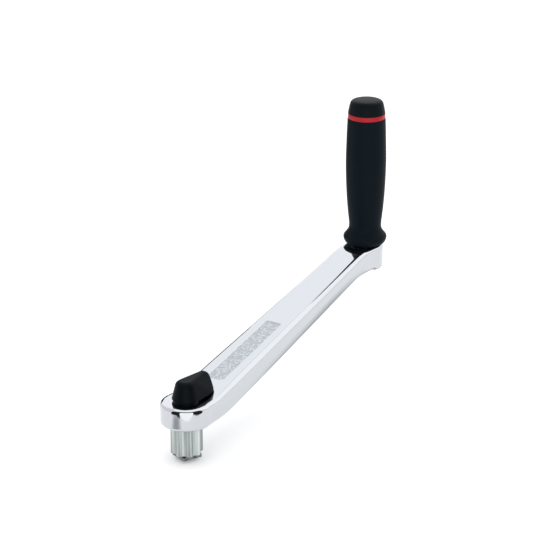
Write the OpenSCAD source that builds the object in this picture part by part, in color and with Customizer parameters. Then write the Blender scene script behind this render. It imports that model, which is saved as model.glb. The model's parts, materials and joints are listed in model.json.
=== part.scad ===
// Lock-in crank handle for a winch: a tapered forged arm that rises from the drive head to a free-turning grip.
// Millimetres, +Z up. The drive axis is Z, the head's flat underside is z = 0, and the arm runs along +X.

/* [Arm] */
// Distance from the drive axis to the grip axis
crank_length = 254; // [200:1:300]
// Angle at which the arm's top climbs towards the grip
arm_angle = 11.86; // [9:0.1:15]
// Height of the arm's sloping top where it would cross the drive axis
slope_start = 14.2; // [13:0.1:15.5]
// Width of the arm at the drive axis
arm_width_head = 38; // [36:0.5:40]
// Width of the arm where the slope ends at the boss
arm_width_boss = 27.2; // [25:0.2:28.5]
// Upright thickness of the arm at the head end
arm_thick_head = 15.4; // [14.5:0.1:16.5]
// Upright thickness of the arm where the slope ends
arm_thick_boss = 14; // [12:0.1:16]
// Radius of the arm's long edges
arm_edge = 3; // [1.5:0.1:4]
// Diameter of the round drive head
head_d = 38.4; // [38:0.2:42]
// Height of the drive head
head_h = 17; // [16.5:0.1:19]
// Radius of the head's upper edge
head_top_edge = 3; // [1:0.1:4]
// Radius of the head's lower edge
head_low_edge = 2.4; // [1:0.1:3]
// Diameter of the boss that carries the grip
boss_d = 29.6; // [29:0.2:34]
// Height of the boss
boss_h = 19.4; // [17:0.1:24]
// Radius of the boss's edges
boss_edge = 2; // [1:0.1:3]

/* [Badge panel] */
// Where the sunk panel starts, from the drive axis
panel_start = 36; // [34:1:50]
// Length of the sunk panel
panel_length = 84; // [60:1:110]
// Width of the sunk panel
panel_width = 14; // [8:0.5:20]
// Depth of the sunk panel
panel_depth = 0.6; // [0.3:0.1:1.2]
// Corner radius of the sunk panel
panel_corner = 3; // [1:0.5:3.5]

/* [Drive stud] */
// Width across the flats of each of the two squares that make the eight-point star
star_flats = 17.46; // [16.6:0.02:18.4]
// Diameter across the star's blunted points
star_tips = 23.9; // [23:0.1:24.2]
// Length of the star below the head
star_length = 23.5; // [18:0.5:30]
// Diameter of the stud's plain shank in the head
stud_shank_d = 24.4; // [24.3:0.1:26]
// Depth of the shank in the head
stud_shank_length = 9.5; // [8:0.5:10.5]

/* [Lock] */
// Diameter of the lock shaft
lock_shaft_d = 8; // [7:0.1:9]
// Width of the lock plate
lock_plate_width = 15.6; // [15:0.1:16.2]
// Thickness of the lock plate
lock_plate_thick = 3; // [2:0.1:4]
// Turn of the knob from locked to open
lock_turn = 22.5; // [22.5]
// Radius of the knob's round ends at its foot
knob_r = 10.4; // [10.2:0.1:12]
// Distance from the shaft to the centre of the lever end
knob_reach = 17.6; // [15:0.1:19]
// Height of the knob above the head
knob_h = 15.8; // [14.5:0.1:18]
// Lean of the knob's sides
knob_draft = 14; // [8:0.5:15]
// Gap between the knob and the head, bridged by the thrust washer
knob_gap = 1.6; // [1.2:0.1:2]
// Lean of the finger flats on the lever's flanks
flat_tilt = 25; // [20:1:30]
// Wire diameter of the return spring
spring_wire = 1.2; // [0.8:0.1:1.4]
// Coil diameter of the return spring, between wire centres
spring_coil_d = 12.8; // [12:0.1:13.4]
// Turns of the return spring
spring_turns = 2.75; // [1.75:0.5:3.25]
// Diameter of the stop pin
stop_pin_d = 2; // [1.5:0.1:2.4]

/* [Grip] */
// Length of the turning grip without its ring and cap
grip_length = 104; // [90:1:120]
// Largest radius of the grip's palm swell
grip_swell_r = 16.15; // [15.2:0.05:18]
// Radius of the grip's neck
grip_neck_r = 12.95; // [12.5:0.05:13.6]
// Radius of the grip's lower flange
grip_flange_r = 17.3; // [16:0.1:18.5]
// Radius at the grip's upper end
grip_top_r = 15.15; // [15:0.05:16]
// Gap between the boss and the grip
grip_gap = 1.2; // [0.8:0.1:2]
// Height of the coloured ring
ring_h = 3.8; // [2.5:0.1:5]
// Radius of the coloured ring
ring_r = 14.85; // [14.2:0.05:15]
// Height of the end cap above the ring
cap_h = 10.8; // [9.5:0.1:13]

/* [Bearings] */
// Bore of each ball bearing
bearing_bore = 10; // [9:0.5:10.5]
// Outside diameter of each ball bearing
bearing_od = 22; // [21.6:0.1:22.6]
// Width of each ball bearing
bearing_width = 6; // [5.6:0.1:7]
// Ball diameter
ball_d = 3.2; // [2.8:0.1:3.4]
// Balls in each bearing
ball_count = 9; // [7:1:9]

/* [Fasteners] */
// Diameter of the spindle's threaded shank in the boss
spindle_thread_d = 6; // [5:0.5:7]
// Width across the flats of the spindle nut
spindle_nut_flats = 10; // [9.6:0.1:11]
// Height of the spindle nut
spindle_nut_h = 3.2; // [2.8:0.1:5]
// Diameter of the spindle washer
spindle_washer_d = 11; // [10.6:0.1:14]
// Thread diameter of the screw that holds the upper bearing
top_screw_d = 6; // [4:0.5:6]
// Thread diameter of the lock plate's screw
plate_screw_d = 3; // [2:0.1:3.4]

/* [Hidden] */
$fn = 48;

// Clearances
run_gap = 0.05;
seat_gap = 0.02;
safe_gap = 0.4;

// Arm
arm_slope = tan(arm_angle);
slope_end = crank_length - 24;
blend_half = 8;
boss_top = slope_start + arm_slope * slope_end;
boss_low = boss_top - boss_h;
loft_sink = 0.2;
corner_steps = 5;

// Drive head and lock, from the top of the head down
shaft_bore_r = lock_shaft_d / 2 + run_gap;
spring_pocket_r = spring_coil_d / 2 + spring_wire / 2 + 1.2;
plate_top = -star_length - safe_gap;
plate_low = plate_top - lock_plate_thick;
tenon_w = lock_shaft_d * 0.68;
knob_low = head_h + knob_gap;
washer_h = knob_gap + 0.7;
washer_r = spring_pocket_r + 1.3;
knob_drive_h = 9;
stop_r = washer_r + 0.35 + stop_pin_d / 2;
stop_rise = 4;
stop_depth = 5;
slot_side = 0.3;
leg_depth = 2;
leg_rise = 4;
lever_clear = 0.45;
knob_edge = 3.2;
flat_turn = 10;
screw_head_ratio = 1.1;

// Grip and bearings, from the boss up
grip_low = boss_top + grip_gap;
grip_top = grip_low + grip_length;
collar_h = 3.5;
collar_r = bearing_bore / 2 + 3.4;
lower_race_low = boss_top + collar_h;
upper_race_top = grip_top - 3.6;
upper_race_low = upper_race_top - bearing_width;
pocket_r = bearing_od / 2 + seat_gap;
grip_bore_r = bearing_od / 2 - 2;
pitch_r = (bearing_bore + bearing_od) / 4;
groove_r = ball_d / 2 + run_gap;
race_step = ball_d * 0.34;
spigot_r = bearing_od / 2 + 1.35;
spacer_r = bearing_bore / 2 + 1.8;
cage_wall = 1.3;
cage_h = ball_d + 1.4;
top_washer_h = 1.6;

// Height of the arm's top at x: the slope, eased into the level boss over a short blend
function arm_top(x) =
    x < slope_end - blend_half ? slope_start + arm_slope * x
    : x > slope_end + blend_half ? boss_top
    : slope_start + arm_slope * x - arm_slope * pow(x - slope_end + blend_half, 2) / (4 * blend_half);

// Share of the way along the slope
function arm_share(x) = min(1, x / slope_end);

// Half width of the arm at x, with a flare into the boss
function arm_half(x) =
    let (
        plain = (arm_width_head + (arm_width_boss - arm_width_head) * arm_share(x)) / 2,
        flare = max(0, (x - slope_end) / (crank_length - 4 - slope_end))
    )
    plain + (boss_d / 2 - 0.3 - plain) * pow(flare, 2);

// Height of the arm's underside at x
function arm_low(x) =
    slope_start + arm_slope * min(x, slope_end)
    - arm_thick_head - (arm_thick_boss - arm_thick_head) * arm_share(x) + 1.4 * pow(1 - arm_share(x), 6);

// One upright cross-section of the arm: a rounded rectangle, as points
function arm_section(x) =
    let (
        half = arm_half(x) - arm_edge,
        high = arm_top(x) - loft_sink - arm_edge,
        low = arm_low(x) + arm_edge,
        middles = [[half, high], [-half, high], [-half, low], [half, low]]
    )
    [
        for (corner = [0:3], step = [0:corner_steps - 1])
            let (turn = 90 * (corner + step / (corner_steps - 1)))
            [x, middles[corner][0] + arm_edge * cos(turn), middles[corner][1] + arm_edge * sin(turn)]
    ];

// Triangles that close a stack of equal rings of points
function stack_faces(rings, count) = concat(
    [for (i = [0:rings - 2], j = [0:count - 1]) [i * count + j, (i + 1) * count + j, i * count + (j + 1) % count]],
    [
        for (i = [0:rings - 2], j = [0:count - 1])
            [i * count + (j + 1) % count, (i + 1) * count + j, (i + 1) * count + (j + 1) % count]
    ],
    [[for (j = [0:count - 1]) j]],
    [[for (j = [count - 1:-1:0]) (rings - 1) * count + j]]
);

// Point at share t of a smooth curve through four stations
function smooth(a, b, c, d, t) =
    0.5 * (2 * b + (c - a) * t + (2 * a - 5 * b + 4 * c - d) * t * t + (3 * b - a - 3 * c + d) * t * t * t);

// Smooth curve through a list of [radius, height] stations
function smooth_curve(stations, steps) =
    let (last = len(stations) - 1)
    concat(
        [
            for (i = [0:last - 1], k = [0:steps - 1])
                smooth(stations[max(0, i - 1)], stations[i], stations[i + 1], stations[min(last, i + 2)], k / steps)
        ],
        [stations[last]]
    );

// Solid of revolution between two heights with rounded outer edges
module turned_disc(r, low, high, low_edge, high_edge) {
    rotate_extrude() {
        translate([0, low + low_edge])
            square([r, high - low - low_edge - high_edge]);
        translate([0, low])
            square([r - low_edge, high - low]);
        translate([0, high - high_edge])
            square([r - high_edge, high_edge]);
        translate([r - low_edge, low + low_edge])
            intersection() {
                circle(low_edge);
                translate([-low_edge / 2, -low_edge])
                    square([1.5 * low_edge, 1.5 * low_edge]);
            }
        translate([r - high_edge, high - high_edge])
            intersection() {
                circle(high_edge);
                translate([-high_edge / 2, -high_edge / 2])
                    square([1.5 * high_edge, 1.5 * high_edge]);
            }
    }
}

// Plain ring between two heights
module ring(outer_r, inner_r, low, high) {
    rotate_extrude()
        translate([inner_r, low])
            square([outer_r - inner_r, high - low]);
}

// Drilled hole
module hole(r, low, high) {
    translate([0, 0, low])
        cylinder(h = high - low, r = r);
}

// Flat outline with round corners
module rounded_plate(length, width, corner) {
    translate([corner, 0])
        square([length - 2 * corner, width]);
    translate([0, corner])
        square([length, width - 2 * corner]);
    for (x = [corner, length - corner], y = [corner, width - corner])
        translate([x, y])
            circle(corner);
}

module arm_bar() {
    ease_steps = 6;
    ends = [
        for (i = [0:ease_steps]) slope_end - blend_half + 2 * blend_half * i / ease_steps
    ];
    flares = [for (i = [1:3]) slope_end + blend_half + (crank_length - 4 - slope_end - blend_half) * i / 3];
    places = concat([0], ends, flares);
    points = [for (x = places) each arm_section(x)];
    polyhedron(points = points, faces = stack_faces(len(places), 4 * corner_steps), convexity = 4);
}

module arm() {
    color("gainsboro")
        difference() {
            union() {
                arm_bar();
                turned_disc(head_d / 2, 0, head_h, head_low_edge, head_top_edge);
                translate([crank_length, 0, 0])
                    turned_disc(boss_d / 2, boss_low, boss_top, boss_edge, boss_edge);
            }
            hole(stud_shank_d / 2, -1, stud_shank_length);
            hole(spring_pocket_r, stud_shank_length - 1, arm_top(spring_pocket_r) + 20);
            translate([stop_r, 0, head_h - stop_depth])
                cylinder(h = stop_depth + 10, r = stop_pin_d / 2);
            translate([crank_length, 0, 0])
                hole(spindle_thread_d / 2 + run_gap, boss_low - 1, boss_top + 1);
            translate([0, 0, slope_start - loft_sink])
                rotate([0, -arm_angle, 0])
                    translate([panel_start / cos(arm_angle), -panel_width / 2, -panel_depth])
                        linear_extrude(panel_depth + 5)
                            rounded_plate(panel_length, panel_width, panel_corner);
        }
}

// Star of two squares with blunted points
module star_outline() {
    intersection() {
        union() {
            square(star_flats, center = true);
            rotate(45)
                square(star_flats, center = true);
        }
        circle(star_tips / 2);
    }
}

module drive_stud() {
    color("silver")
        difference() {
            union() {
                translate([0, 0, -star_length])
                    rotate([0, 0, 45])
                        linear_extrude(star_length)
                            star_outline();
                cylinder(h = stud_shank_length, r = stud_shank_d / 2);
            }
            hole(shaft_bore_r, -star_length - 1, stud_shank_length + 1);
            rotate([0, 0, 90 - spring_turns * 360])
                translate([spring_coil_d / 2, 0, stud_shank_length - leg_depth])
                    cylinder(h = leg_depth + 1, r = spring_wire / 2 + run_gap);
        }
}

module lock_shaft() {
    color("lightgray")
        difference() {
            union() {
                hole(lock_shaft_d / 2, plate_top, knob_low);
                translate([-tenon_w / 2, -tenon_w / 2, plate_low])
                    cube([tenon_w, tenon_w, knob_low + knob_drive_h - plate_low]);
            }
            hole(plate_screw_d / 2, plate_low - 1, plate_top + 8);
        }
}

// Half outline of the knob: short upright skirt, leaning side and rounded upper edge
module knob_profile() {
    skirt = 0.6;
    steps = 4;
    shoulder = head_h + knob_h - knob_edge;
    lean_top = shoulder + knob_edge * sin(knob_draft);
    lean_r = knob_r - tan(knob_draft) * (lean_top - knob_low - skirt);
    centre_r = lean_r - knob_edge * cos(knob_draft);
    rounding = [
        for (i = [0:steps])
            let (turn = knob_draft + (90 - knob_draft) * i / steps)
            [centre_r + knob_edge * cos(turn), shoulder + knob_edge * sin(turn)]
    ];
    polygon(concat(
        [[0, knob_low], [knob_r, knob_low], [knob_r, knob_low + skirt]], rounding, [[0, shoulder + knob_edge]]
    ));
}

// The knob's round hub and round lever end, with the straight stretch between them
module knob_body() {
    rotate([0, 0, 90])
        rotate_extrude(angle = 180)
            knob_profile();
    translate([knob_reach, 0, 0])
        rotate([0, 0, -90])
            rotate_extrude(angle = 180)
                knob_profile();
    rotate([90, 0, 90])
        linear_extrude(knob_reach)
            for (side = [0, 1])
                mirror([side, 0])
                    knob_profile();
}

// Space under the lever that lets it swing over the sloping arm
module lever_room() {
    far = knob_reach + knob_r + 4;
    step = (knob_low - slope_start - lever_clear) / arm_slope;
    rotate_extrude()
        polygon([
            [step, knob_low - 1], [step, knob_low], [far, knob_low + arm_slope * (far - step)],
            [far, knob_low - 1]
        ]);
}

// What the two leaning finger flats take off the lever's upper flanks
module finger_flats() {
    for (side = [-1, 1])
        translate([knob_reach + 3.6, side * (knob_r - 5.3), head_h + 12.3])
            rotate([0, 0, -flat_turn * side])
                rotate([flat_tilt * side, 0, 0])
                    translate([-40, side > 0 ? 0 : -20, -30])
                        cube([70, 20, 60]);
}

// Curved slot about the lock axis for a pin that travels from one angle to another
module arc_slot(r, width, from, to, low, high) {
    ends = asin(width / 2 / r);
    translate([0, 0, low])
        rotate([0, 0, from - ends])
            rotate_extrude(angle = to - from + 2 * ends)
                translate([r - width / 2, 0])
                    square([width, high - low]);
}

module lock_knob() {
    color("#26282b")
        difference() {
            knob_body();
            finger_flats();
            lever_room();
            hole(washer_r + 0.2, knob_low - 1, head_h + washer_h);
            translate([-tenon_w / 2, -tenon_w / 2, knob_low - 1])
                cube([tenon_w, tenon_w, knob_drive_h + 1]);
            arc_slot(stop_r, stop_pin_d + 2 * slot_side, -lock_turn, 0, knob_low - 1, head_h + stop_rise + 0.5);
            arc_slot(
                spring_coil_d / 2, spring_wire + 2 * slot_side,
                90 - lock_turn, 90, knob_low - 1, head_h + leg_rise + 0.5
            );
        }
}

module knob_washer() {
    color("#26282b")
        ring(washer_r, spring_pocket_r + 0.1, head_h, head_h + washer_h - 0.1);
}

// Torsion spring: a coil worked out by a loop, with one leg down in the stud and one up in the knob
module lock_spring() {
    sides = 6;
    steps_per_turn = 20;
    coil_r = spring_coil_d / 2;
    wire_r = spring_wire / 2;
    pitch = spring_wire + 0.25;
    coil_low = stud_shank_length + wire_r + 0.1;
    coil_high = coil_low + pitch * spring_turns;
    first = 90 - spring_turns * 360;
    steps = spring_turns * steps_per_turn;
    points = [
        for (i = [0:steps], j = [0:sides - 1])
            let (
                turn = first + 360 * i / steps_per_turn,
                around = -360 * j / sides,
                r = coil_r + wire_r * cos(around)
            )
            [r * cos(turn), r * sin(turn), coil_low + pitch * i / steps_per_turn + wire_r * sin(around)]
    ];
    color("lightsteelblue") {
        polyhedron(points = points, faces = stack_faces(steps + 1, sides), convexity = 6);
        rotate([0, 0, first])
            translate([coil_r, 0, coil_low - wire_r - leg_depth])
                cylinder(h = wire_r + leg_depth, r = wire_r);
        rotate([0, 0, 90])
            translate([coil_r, 0, coil_high])
                cylinder(h = head_h + leg_rise - coil_high, r = wire_r);
    }
}

module stop_pin() {
    color("silver")
        translate([stop_r, 0, head_h - stop_depth])
            cylinder(h = stop_depth + stop_rise, r = stop_pin_d / 2);
}

module lock_plate() {
    color("darkgray")
        translate([0, 0, plate_low])
            difference() {
                rotate([0, 0, 45 + lock_turn])
                    linear_extrude(lock_plate_thick)
                        square(lock_plate_width, center = true);
                translate([-tenon_w / 2, -tenon_w / 2, -1])
                    cube([tenon_w, tenon_w, lock_plate_thick + 2]);
            }
}

module plate_screw() {
    head_r = plate_screw_d * screw_head_ratio + 0.6;
    head_t = 2;
    color("silver")
        difference() {
            union() {
                turned_disc(head_r, plate_low - head_t, plate_low, 0.8, 0.1);
                hole(plate_screw_d / 2, plate_low - 0.5, plate_top + 6);
            }
            translate([0, 0, plate_low - head_t - 0.5])
                cylinder(h = 1.6, r = plate_screw_d * 0.48, $fn = 6);
        }
}

module grip_spindle() {
    tail = 0.6;
    tail_end = boss_low - 1 - spindle_nut_h - tail;
    color("silver")
        translate([crank_length, 0, 0])
            difference() {
                union() {
                    hole(spindle_thread_d / 2, tail_end, boss_top + 1);
                    turned_disc(collar_r, boss_top, lower_race_low, 0.3, 0.3);
                    hole(bearing_bore / 2, boss_top + 1, upper_race_top - 0.4);
                }
                hole(top_screw_d / 2, upper_race_top - 16, upper_race_top + 1);
            }
}

module spindle_washer() {
    color("silver")
        translate([crank_length, 0, 0])
            ring(spindle_washer_d / 2, spindle_thread_d / 2 + 0.2, boss_low - 1, boss_low);
}

module spindle_nut() {
    corner_r = spindle_nut_flats / 2 / cos(30);
    top = boss_low - 1;
    color("dimgray")
        translate([crank_length, 0, 0])
            difference() {
                intersection() {
                    translate([0, 0, top - spindle_nut_h])
                        cylinder(h = spindle_nut_h, r = corner_r, $fn = 6);
                    rotate_extrude()
                        polygon([
                            [0, top + 1], [0, top - spindle_nut_h - 1],
                            [corner_r - 2, top - spindle_nut_h - 1], [corner_r + 2, top - spindle_nut_h + 1],
                            [corner_r + 2, top - 1], [corner_r - 2, top + 1]
                        ]);
                }
                hole(spindle_thread_d / 2 + seat_gap, top - spindle_nut_h - 1, top + 1);
            }
}

// Outline of the grip: flange, neck and palm swell, from the bottom up
function grip_outline() =
    let (
        neck = 15.8,
        palm = grip_length - neck,
        lift = grip_swell_r - grip_neck_r
    )
    smooth_curve([
        [grip_flange_r - 1.9, 0],
        [grip_flange_r - 1.1, 1],
        [grip_flange_r - 0.1, 3.2],
        [grip_flange_r - 0.1, 5.8],
        [(grip_flange_r + grip_neck_r) / 2, 8.6],
        [grip_neck_r + 0.5, 11.4],
        [grip_neck_r, neck],
        [grip_neck_r + 0.34 * lift, neck + 0.12 * palm],
        [grip_neck_r + 0.65 * lift, neck + 0.25 * palm],
        [grip_neck_r + 0.9 * lift, neck + 0.42 * palm],
        [grip_swell_r, neck + 0.6 * palm],
        [grip_swell_r - 0.25, neck + 0.74 * palm],
        [(grip_swell_r + grip_top_r) / 2 - 0.1, neck + 0.88 * palm],
        [grip_top_r, grip_length - 0.6]
    ], 3);

module grip_body() {
    outline = [for (p = grip_outline()) [p[0], p[1] + grip_low]];
    color("#1d1e20")
        translate([crank_length, 0, 0])
            difference() {
                rotate_extrude()
                    polygon(concat([[0, grip_low]], outline, [[grip_top_r - 0.5, grip_top], [0, grip_top]]));
                hole(grip_bore_r, grip_low - 1, grip_top + 1);
                hole(pocket_r, grip_low - 1, lower_race_low + bearing_width);
                hole(pocket_r, upper_race_low, grip_top + 1);
                hole(spigot_r + seat_gap, upper_race_top + 0.3, grip_top + 1);
            }
}

module accent_ring() {
    color("crimson")
        translate([crank_length, 0, 0])
            difference() {
                turned_disc(ring_r, grip_top, grip_top + ring_h, 0.3, 0.3);
                hole(spigot_r + seat_gap, grip_top - 1, grip_top + ring_h + 1);
            }
}

// Outline of the end cap above the ring: leaning side and rounded crown
function cap_outline() =
    smooth_curve([
        [ring_r - 0.35, 0],
        [ring_r - 0.05, 0.5],
        [ring_r - 0.75, 0.4 * cap_h],
        [ring_r - 1.25, 0.62 * cap_h],
        [ring_r - 2.1, 0.84 * cap_h],
        [ring_r - 3.6, 0.955 * cap_h],
        [ring_r - 5.6, cap_h]
    ], 3);

module grip_cap() {
    cap_low = grip_top + ring_h;
    wall = 2.4;
    outline = [for (p = cap_outline()) [p[0], p[1] + cap_low]];
    color("#1d1e20")
        translate([crank_length, 0, 0])
            difference() {
                union() {
                    rotate_extrude()
                        polygon(concat([[0, cap_low]], outline, [[0, cap_low + cap_h]]));
                    hole(spigot_r, upper_race_top + 0.5, cap_low + 1);
                }
                hole(spigot_r - wall, upper_race_top - 1, cap_low + cap_h - 1.8 * wall);
            }
}

module grip_seal() {
    color("black")
        translate([crank_length, 0, 0])
            ring(pocket_r, collar_r + 0.3, grip_low + 0.3, lower_race_low - 0.4);
}

// Groove that the balls run in, as a ring of round section
module ball_groove(low) {
    translate([0, 0, low + bearing_width / 2])
        rotate_extrude()
            translate([pitch_r, 0])
                circle(groove_r);
}

module outer_race(low) {
    color("silver")
        translate([crank_length, 0, 0])
            difference() {
                ring(bearing_od / 2, pitch_r + race_step, low, low + bearing_width);
                ball_groove(low);
            }
}

module inner_race(low) {
    color("silver")
        translate([crank_length, 0, 0])
            difference() {
                ring(pitch_r - race_step, bearing_bore / 2 + seat_gap, low, low + bearing_width);
                ball_groove(low);
            }
}

module ball_cage(low) {
    middle = low + bearing_width / 2;
    color("goldenrod")
        translate([crank_length, 0, 0])
            difference() {
                ring(pitch_r + cage_wall / 2, pitch_r - cage_wall / 2, middle - cage_h / 2, middle + cage_h / 2);
                for (i = [0:ball_count - 1])
                    rotate([0, 0, 360 * i / ball_count])
                        translate([pitch_r - cage_wall, 0, middle])
                            rotate([0, 90, 0])
                                cylinder(h = 2 * cage_wall, r = ball_d / 2 + 0.1);
            }
}

module balls(low) {
    color("lightgray")
        translate([crank_length, 0, 0])
            for (i = [0:ball_count - 1])
                rotate([0, 0, 360 * i / ball_count])
                    translate([pitch_r, 0, low + bearing_width / 2])
                        sphere(ball_d / 2);
}

module bearing_spacer() {
    color("lightgray")
        translate([crank_length, 0, 0])
            ring(spacer_r, bearing_bore / 2 + seat_gap, lower_race_low + bearing_width, upper_race_low);
}

module retaining_washer() {
    color("silver")
        translate([crank_length, 0, 0])
            ring(bearing_bore / 2 + 2, top_screw_d / 2 + 0.2, upper_race_top, upper_race_top + top_washer_h);
}

module retaining_screw() {
    head_low = upper_race_top + top_washer_h;
    head_t = top_screw_d * 0.5;
    color("silver")
        translate([crank_length, 0, 0])
            difference() {
                union() {
                    turned_disc(top_screw_d * 0.85, head_low, head_low + head_t, 0.1, 1);
                    hole(top_screw_d / 2, upper_race_top - 14, head_low + 0.5);
                }
                translate([0, 0, head_low + head_t - 1.6])
                    cylinder(h = 2, r = top_screw_d * 0.36, $fn = 6);
            }
}

arm();
drive_stud();
lock_shaft();
lock_knob();
knob_washer();
lock_spring();
stop_pin();
lock_plate();
plate_screw();
grip_spindle();
spindle_washer();
spindle_nut();
grip_body();
accent_ring();
grip_cap();
grip_seal();
outer_race(lower_race_low);  // lower_outer_race
inner_race(lower_race_low);  // lower_inner_race
ball_cage(lower_race_low);  // lower_ball_cage
balls(lower_race_low);  // lower_balls
bearing_spacer();
outer_race(upper_race_low);  // upper_outer_race
inner_race(upper_race_low);  // upper_inner_race
ball_cage(upper_race_low);  // upper_ball_cage
balls(upper_race_low);  // upper_balls
retaining_washer();
retaining_screw();
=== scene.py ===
"""Looks of the lock-in crank handle as a Blender add-on: pieces, materials, studio and fitted camera."""

import json
import math

import bmesh
import bpy
import numpy as np
from bpy.props import FloatProperty, FloatVectorProperty, IntProperty, PointerProperty
from mathutils import Matrix, Vector


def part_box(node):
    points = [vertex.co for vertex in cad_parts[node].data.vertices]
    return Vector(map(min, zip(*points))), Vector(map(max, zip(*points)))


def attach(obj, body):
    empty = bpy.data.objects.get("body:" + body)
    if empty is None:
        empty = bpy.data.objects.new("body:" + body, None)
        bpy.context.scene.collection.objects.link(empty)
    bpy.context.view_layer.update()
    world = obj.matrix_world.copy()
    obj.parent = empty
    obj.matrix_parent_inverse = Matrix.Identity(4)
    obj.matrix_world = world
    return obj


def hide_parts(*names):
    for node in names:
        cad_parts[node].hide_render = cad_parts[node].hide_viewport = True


bl_info = {
    "name": "Lock-in crank handle",
    "version": (1, 0, 0),
    "blender": (4, 5, 0),
    "location": "3D View > Sidebar > Crank",
    "description": "Builds the looks of a winch crank handle on its CAD frame",
    "category": "Object",
}

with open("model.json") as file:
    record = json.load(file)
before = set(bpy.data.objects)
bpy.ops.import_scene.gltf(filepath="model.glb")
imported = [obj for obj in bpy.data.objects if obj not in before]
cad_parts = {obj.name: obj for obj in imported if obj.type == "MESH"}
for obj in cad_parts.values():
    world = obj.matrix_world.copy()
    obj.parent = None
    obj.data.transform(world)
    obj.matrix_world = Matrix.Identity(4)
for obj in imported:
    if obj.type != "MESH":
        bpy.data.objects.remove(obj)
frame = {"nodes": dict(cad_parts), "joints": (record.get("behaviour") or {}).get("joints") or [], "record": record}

MM = 0.001


# Lowest and highest place of a CAD piece along an axis, in millimetres
def span(node, axis="z"):
    return [round(getattr(corner, axis) / MM, 2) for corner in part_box(node)]


# Distance between the axes, the round head and the boss
CRANK = next(round(joint["pos_m"][0] / MM, 2) for joint in frame["joints"] if joint["name"] == "grip_spin")
HEAD_R, BOSS_R = -span("arm", "x")[0], span("arm", "x")[1] - CRANK
HEAD_H = span("knob_washer")[0]
BOSS_LOW, BOSS_TOP = span("spindle_washer")[1], span("arm")[1]

# Bar: the climb of its top from the drive axis to the boss, and half the length of the bend at the boss
ARM_ANGLE = math.radians(11.86)
SLOPE = math.tan(ARM_ANGLE)
SLOPE_START = 14.2
SLOPE_END = 230.0
BLEND_HALF = 8.0

# Bar: width at head and boss, depth at the head, and what the depth loses on the way to the boss
BAR_HEAD, BAR_BOSS = 38.0, 27.2
BAR_DEPTH, BAR_THINS = 15.4, 1.4

# Sunk panel: where it starts along x, and how far the bar's top lies below the line from SLOPE_START
PANEL_START = 36.0
TOP_DROP = 0.2

# Stud: radius and height of its shank, its bore for the lock shaft, and the star's two ends
SHANK_R = span("drive_stud", "x")[1]
STAR_LOW, SHANK_H = span("drive_stud")
STAR_TOP = -0.02
SHAFT_BORE = 4.05
PLATE_LOW, PLATE_TOP = span("lock_plate")

# Head: the spring's well and its floor, and the stop pin's place, radius and foot. Boss: the spindle's bore.
WELL_R, WELL_LOW = 8.2, 8.5
PIN_BACK, PIN_FRONT = span("stop_pin", "x")
PIN_AT, PIN_R = (PIN_BACK + PIN_FRONT) / 2, (PIN_FRONT - PIN_BACK) / 2
PIN_LOW = span("stop_pin")[0]
SPINDLE_R = 3.05

# Under the knob: the washer's recess, the shaft's square socket and the two curved slots
KNOB_LOW = span("lock_knob")[0]
RECESS_R, RECESS_TOP = 9.7, 19.3
SOCKET_HALF, SOCKET_TOP = 2.72, span("lock_shaft")[1]
SLOT_TOP = 21.5

# Grip, ring and cap, from the grip's foot to the cap's top
GRIP_LOW = span("grip_body")[0]
GRIP_TOP, RING_TOP = span("accent_ring")
CAP_TOP = span("grip_cap")[1]

# Inside the grip: bearing seats, the tube between them, and the step that takes the cap's spigot
SEAT_R = 11.02
SEAT_LOW = span("lower_outer_race")[1] - GRIP_LOW
SEAT_HIGH = GRIP_TOP - span("upper_outer_race")[0]
TUBE_R = 9.0
STEP_R, STEP_DEPTH = 12.37, 3.3
SPIGOT_R, SPIGOT_BORE, SPIGOT_LENGTH = 12.35, 9.95, 7.1
CAP_ROOF = 4.32

# Camera fitted to the photograph: place in metres, lens in mm, heading, and tilt down
CAMERA_AT = (-1.1965, -0.8458, 0.6613)
CAMERA_LENS = 141.47
HEADING, TILT = math.radians(32.59), math.radians(20.62)


# Linear colour from an sRGB hex code
def linear(code):
    values = [int(code[i : i + 2], 16) / 255 for i in (1, 3, 5)]
    return tuple(v / 12.92 if v <= 0.04045 else ((v + 0.055) / 1.055) ** 2.4 for v in values) + (1.0,)


# Numbers that shape the arm
class ArmSettings(bpy.types.PropertyGroup):
    edge: FloatProperty(name="Edge", description="Radius of the bar's edges, in mm", default=4.2)
    head_edge: FloatProperty(name="Head edge", description="Radius of the head's edge, in mm", default=3.0)
    low_edge: FloatProperty(name="Lower edge", description="Radius of the lower edges, in mm", default=2.4)
    crown: FloatProperty(name="Crown", description="Bulge of the bar's sides, in mm", default=0.25)
    belly: FloatProperty(name="Belly", description="Depth added at the head, in mm", default=5.2)
    belly_end: FloatProperty(name="Belly end", description="Depth added at the boss, in mm", default=2.6)
    cell: FloatProperty(name="Cell", description="Size of the mesh's cells, in mm", default=1.15)
    panel_length: FloatProperty(name="Panel length", description="Length of the panel, in mm", default=84.0)
    panel_width: FloatProperty(name="Panel width", description="Width of the panel, in mm", default=14.0)
    panel_depth: FloatProperty(name="Panel depth", description="Depth of the panel, in mm", default=0.6)


# Numbers that shape the grip, its ring and its cap
class GripSettings(bpy.types.PropertyGroup):
    swell: FloatProperty(name="Palm swell", description="Largest radius of the grip, in mm", default=16.15)
    neck: FloatProperty(name="Neck", description="Radius of the neck, in mm", default=12.95)
    flange: FloatProperty(name="Flange", description="Radius of the lower flange, in mm", default=17.3)
    top: FloatProperty(name="Top", description="Radius at the upper end, in mm", default=15.15)
    ring: FloatProperty(name="Ring", description="Radius of the coloured ring, in mm", default=14.85)
    segments: IntProperty(name="Segments", description="Steps round the turned pieces", default=128)


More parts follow.
